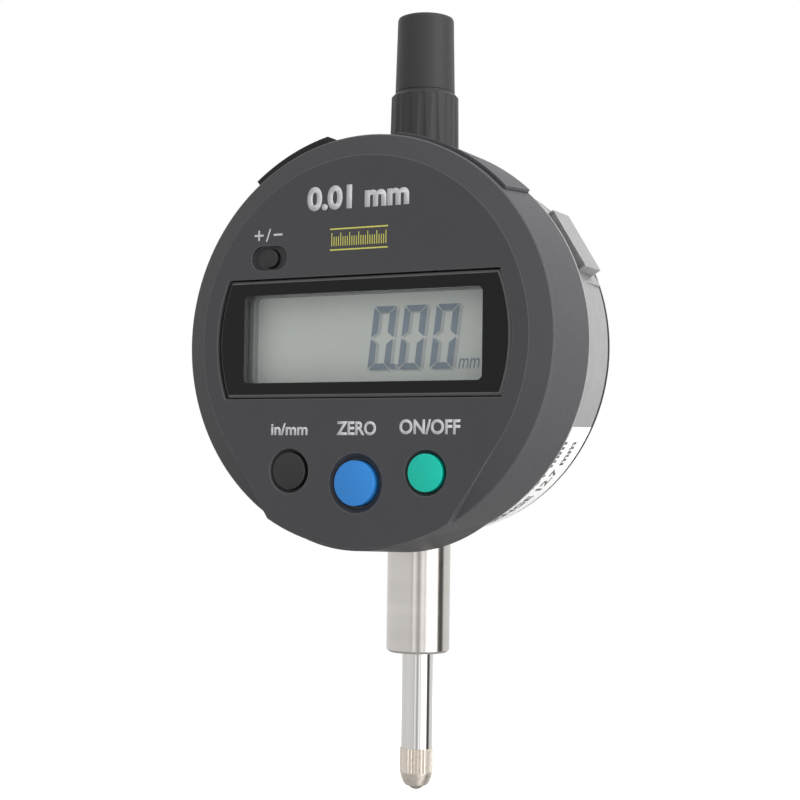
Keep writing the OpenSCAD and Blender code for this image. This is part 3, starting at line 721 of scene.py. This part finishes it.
def return_spring():
    """The spring wire as one mesh that rides on the case, in place of the CAD spring."""
    low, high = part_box("return_spring")
    steps = SPRING_TURNS * TURN_SIDES
    points = coil_points(low, high, steps)
    last = steps * WIRE_SIDES
    faces = [list(range(WIRE_SIDES)), list(range(last, last + WIRE_SIDES))[::-1]]
    for i in range(steps):
        for k in range(WIRE_SIDES):
            a, b = i * WIRE_SIDES + k, i * WIRE_SIDES + (k + 1) % WIRE_SIDES
            faces.append([a, a + WIRE_SIDES, b + WIRE_SIDES, b])
    material = NODES["return_spring"].material_slots[0].material
    piece = add_piece("spring_coil", points, faces, material, "case")
    piece.data.polygons.foreach_set("use_smooth", [True] * len(faces))
    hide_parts("return_spring")
    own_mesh(piece)


# ---- studio ----

LIGHTS = (("key", 88, 12, 8.6), ("top", 150, 66, 9.0))    # name, azimuth, elevation, watts
LIGHT_DISTANCE = 1.1
LIGHT_SIZE = 0.8
MIDDLE = Vector((0, 0, 0.02))    # of the object, which the lights face
PAPER_GLOW = 0.7
FLOOR_GAP = 0.0004               # floor below the contact ball
FLOOR_RADIUS = 0.16
FLOOR_RINGS = 6
FLOOR_STEPS = 64


def toward(azimuth, elevation):
    """Direction from the object; azimuth 0 is in front, 90 at the right."""
    a, e = math.radians(azimuth), math.radians(elevation)
    return Vector((math.sin(a) * math.cos(e), -math.cos(a) * math.cos(e), math.sin(e)))


def area_light(name, azimuth, elevation, power):
    """A soft box that faces the object's middle, and that its metal doesn't reflect."""
    light = bpy.data.lights.new(name, "AREA")
    light.shape = "RECTANGLE"
    light.size = light.size_y = LIGHT_SIZE
    light.energy = power
    lamp = bpy.data.objects.new(name, light)
    lamp.visible_glossy = False
    bpy.context.scene.collection.objects.link(lamp)
    away = toward(azimuth, elevation)
    lamp.location = MIDDLE + away * LIGHT_DISTANCE
    lamp.rotation_euler = away.to_track_quat("Z", "Y").to_euler()


def paper():
    """White paper that the camera sees bright, and that lights the object less."""
    surface = Surface("studio_paper", (0.5, 0.5, 0.5), 0.9)
    surface.mottle(300, 0.03)
    glow = surface.node("Emission", {"Strength": PAPER_GLOW}).outputs[0]
    path = surface.node("LightPath").outputs["Is Camera Ray"]
    nothing = surface.node("Emission", {"Strength": 0}).outputs[0]
    extra = surface.node("MixShader", {0: path, 1: nothing, 2: glow}).outputs[0]
    surface.show(surface.node("AddShader", {0: surface.shader.outputs[0], 1: extra}).outputs[0])
    return surface.material


def floor():
    """A large pale floor just under the contact ball."""
    z, rings, steps = TIP_Z - FLOOR_GAP, FLOOR_RINGS, FLOOR_STEPS
    vertices = [Vector((0, 0, z))]
    faces = []
    for k in range(1, rings + 1):
        for i in range(steps):
            a = math.tau * i / steps
            r = FLOOR_RADIUS * (k / rings) ** 2
            vertices.append(Vector((r * math.cos(a), r * math.sin(a), z)))
    for i in range(steps):
        faces.append([0, 1 + i, 1 + (i + 1) % steps])
        for k in range(rings - 1):
            a, b = 1 + k * steps, 1 + (k + 1) * steps
            j = (i + 1) % steps
            faces.append([a + i, b + i, b + j, a + j])
    mesh = bpy.data.meshes.new("studio_floor")
    mesh.from_pydata(vertices, [], faces)
    mesh.materials.append(paper())
    piece = bpy.data.objects.new("studio_floor", mesh)
    piece.visible_glossy = False
    bpy.context.scene.collection.objects.link(piece)


# Panels round the object: degrees to the right of the camera, and brightness.
PANELS = ((-30, 0.40), (-24, 0.30), (-17, 0.60), (-12, 0.50), (-1, 0.22), (4, 0.30), (14, 0.66),
          (24, 0.45), (34, 1.0), (70, 1.0), (78, 0.05), (98, 0.05), (106, 0.42))
BEHIND = 0.42                    # brightness at the ends of the round
LOW_SKY = (-0.5, 1.1)            # height of a direction, and the panels' strength there
HIGH_SKY = (-0.15, 2.0)


def panel_strip(tree, direction):
    """The panels' brightness for a direction, by its angle from the camera's own."""
    back = add_node(tree, "Math", {0: direction["Y"], 1: -1}, operation="MULTIPLY").outputs[0]
    angle = add_node(tree, "Math", {0: direction["X"], 1: back}, operation="ARCTAN2").outputs[0]
    inputs = {"Value": angle, "From Min": -math.pi, "From Max": math.pi}
    part = add_node(tree, "MapRange", inputs).outputs[0]
    ramp = add_node(tree, "ValToRGB", {0: part})
    stops = ramp.color_ramp.elements
    stops[0].color = stops[1].color = (BEHIND, BEHIND, BEHIND, 1)
    for degrees, level in PANELS:
        stops.new((degrees + 180) / 360).color = (level, level, level, 1)
    return ramp.outputs[0]


def surroundings():
    """Bright and dark panels round the object, which the metal reflects; white behind it."""
    world = bpy.data.worlds.new("studio")
    world.use_nodes = True
    tree = world.node_tree
    tree.nodes.clear()
    inputs = {"Vector": add_node(tree, "TexCoord").outputs["Generated"],
              "Angle": -math.radians(CAMERA_AZIMUTH)}
    turned = add_node(tree, "VectorRotate", inputs, rotation_type="Z_AXIS").outputs[0]
    direction = add_node(tree, "SeparateXYZ", {0: turned}).outputs
    inputs = {"Value": direction["Z"], "From Min": LOW_SKY[0], "From Max": HIGH_SKY[0],
              "To Min": LOW_SKY[1], "To Max": HIGH_SKY[1]}
    strength = add_node(tree, "MapRange", inputs).outputs[0]
    inputs = {"Color": panel_strip(tree, direction), "Strength": strength}
    around = add_node(tree, "Background", inputs).outputs[0]
    white = add_node(tree, "Background", {"Color": (1, 1, 1, 1)}).outputs[0]
    seen = add_node(tree, "LightPath").outputs["Is Camera Ray"]
    mix = add_node(tree, "MixShader", {0: seen, 1: around, 2: white}).outputs[0]
    add_node(tree, "OutputWorld", {"Surface": mix})
    bpy.context.scene.world = world


CAMERA_AZIMUTH = 27.878
CAMERA_ELEVATION = -2.473
CAMERA_ROLL = 0.792
CAMERA_DISTANCE = 0.222119
CAMERA_TARGET = Vector((0.006948, -0.020, 0.020881))
LENS = 71.79
SENSOR_WIDTH = 36
NEAREST = 0.01


def camera():
    """The photograph's view: from the right of the face, a little below its middle."""
    away = toward(CAMERA_AZIMUTH, CAMERA_ELEVATION)
    data = bpy.data.cameras.new("photo_view")
    data.lens = LENS
    data.sensor_width = SENSOR_WIDTH
    data.clip_start = NEAREST
    eye = bpy.data.objects.new("photo_view", data)
    bpy.context.scene.collection.objects.link(eye)
    upright = away.to_track_quat("Z", "Y").to_matrix().to_4x4()
    roll = Matrix.Rotation(math.radians(CAMERA_ROLL), 4, "Z")
    eye.matrix_world = Matrix.Translation(CAMERA_TARGET + away * CAMERA_DISTANCE) @ upright @ roll
    bpy.context.scene.camera = eye


def studio():
    """Camera, floor, surroundings and lights."""
    camera()
    floor()
    surroundings()
    for name, azimuth, elevation, power in LIGHTS:
        area_light(name, azimuth, elevation, power)
    bpy.context.scene.view_settings.view_transform = "Standard"


finish_nodes()
face_printing()
display()
label_printing()
return_spring()
studio()
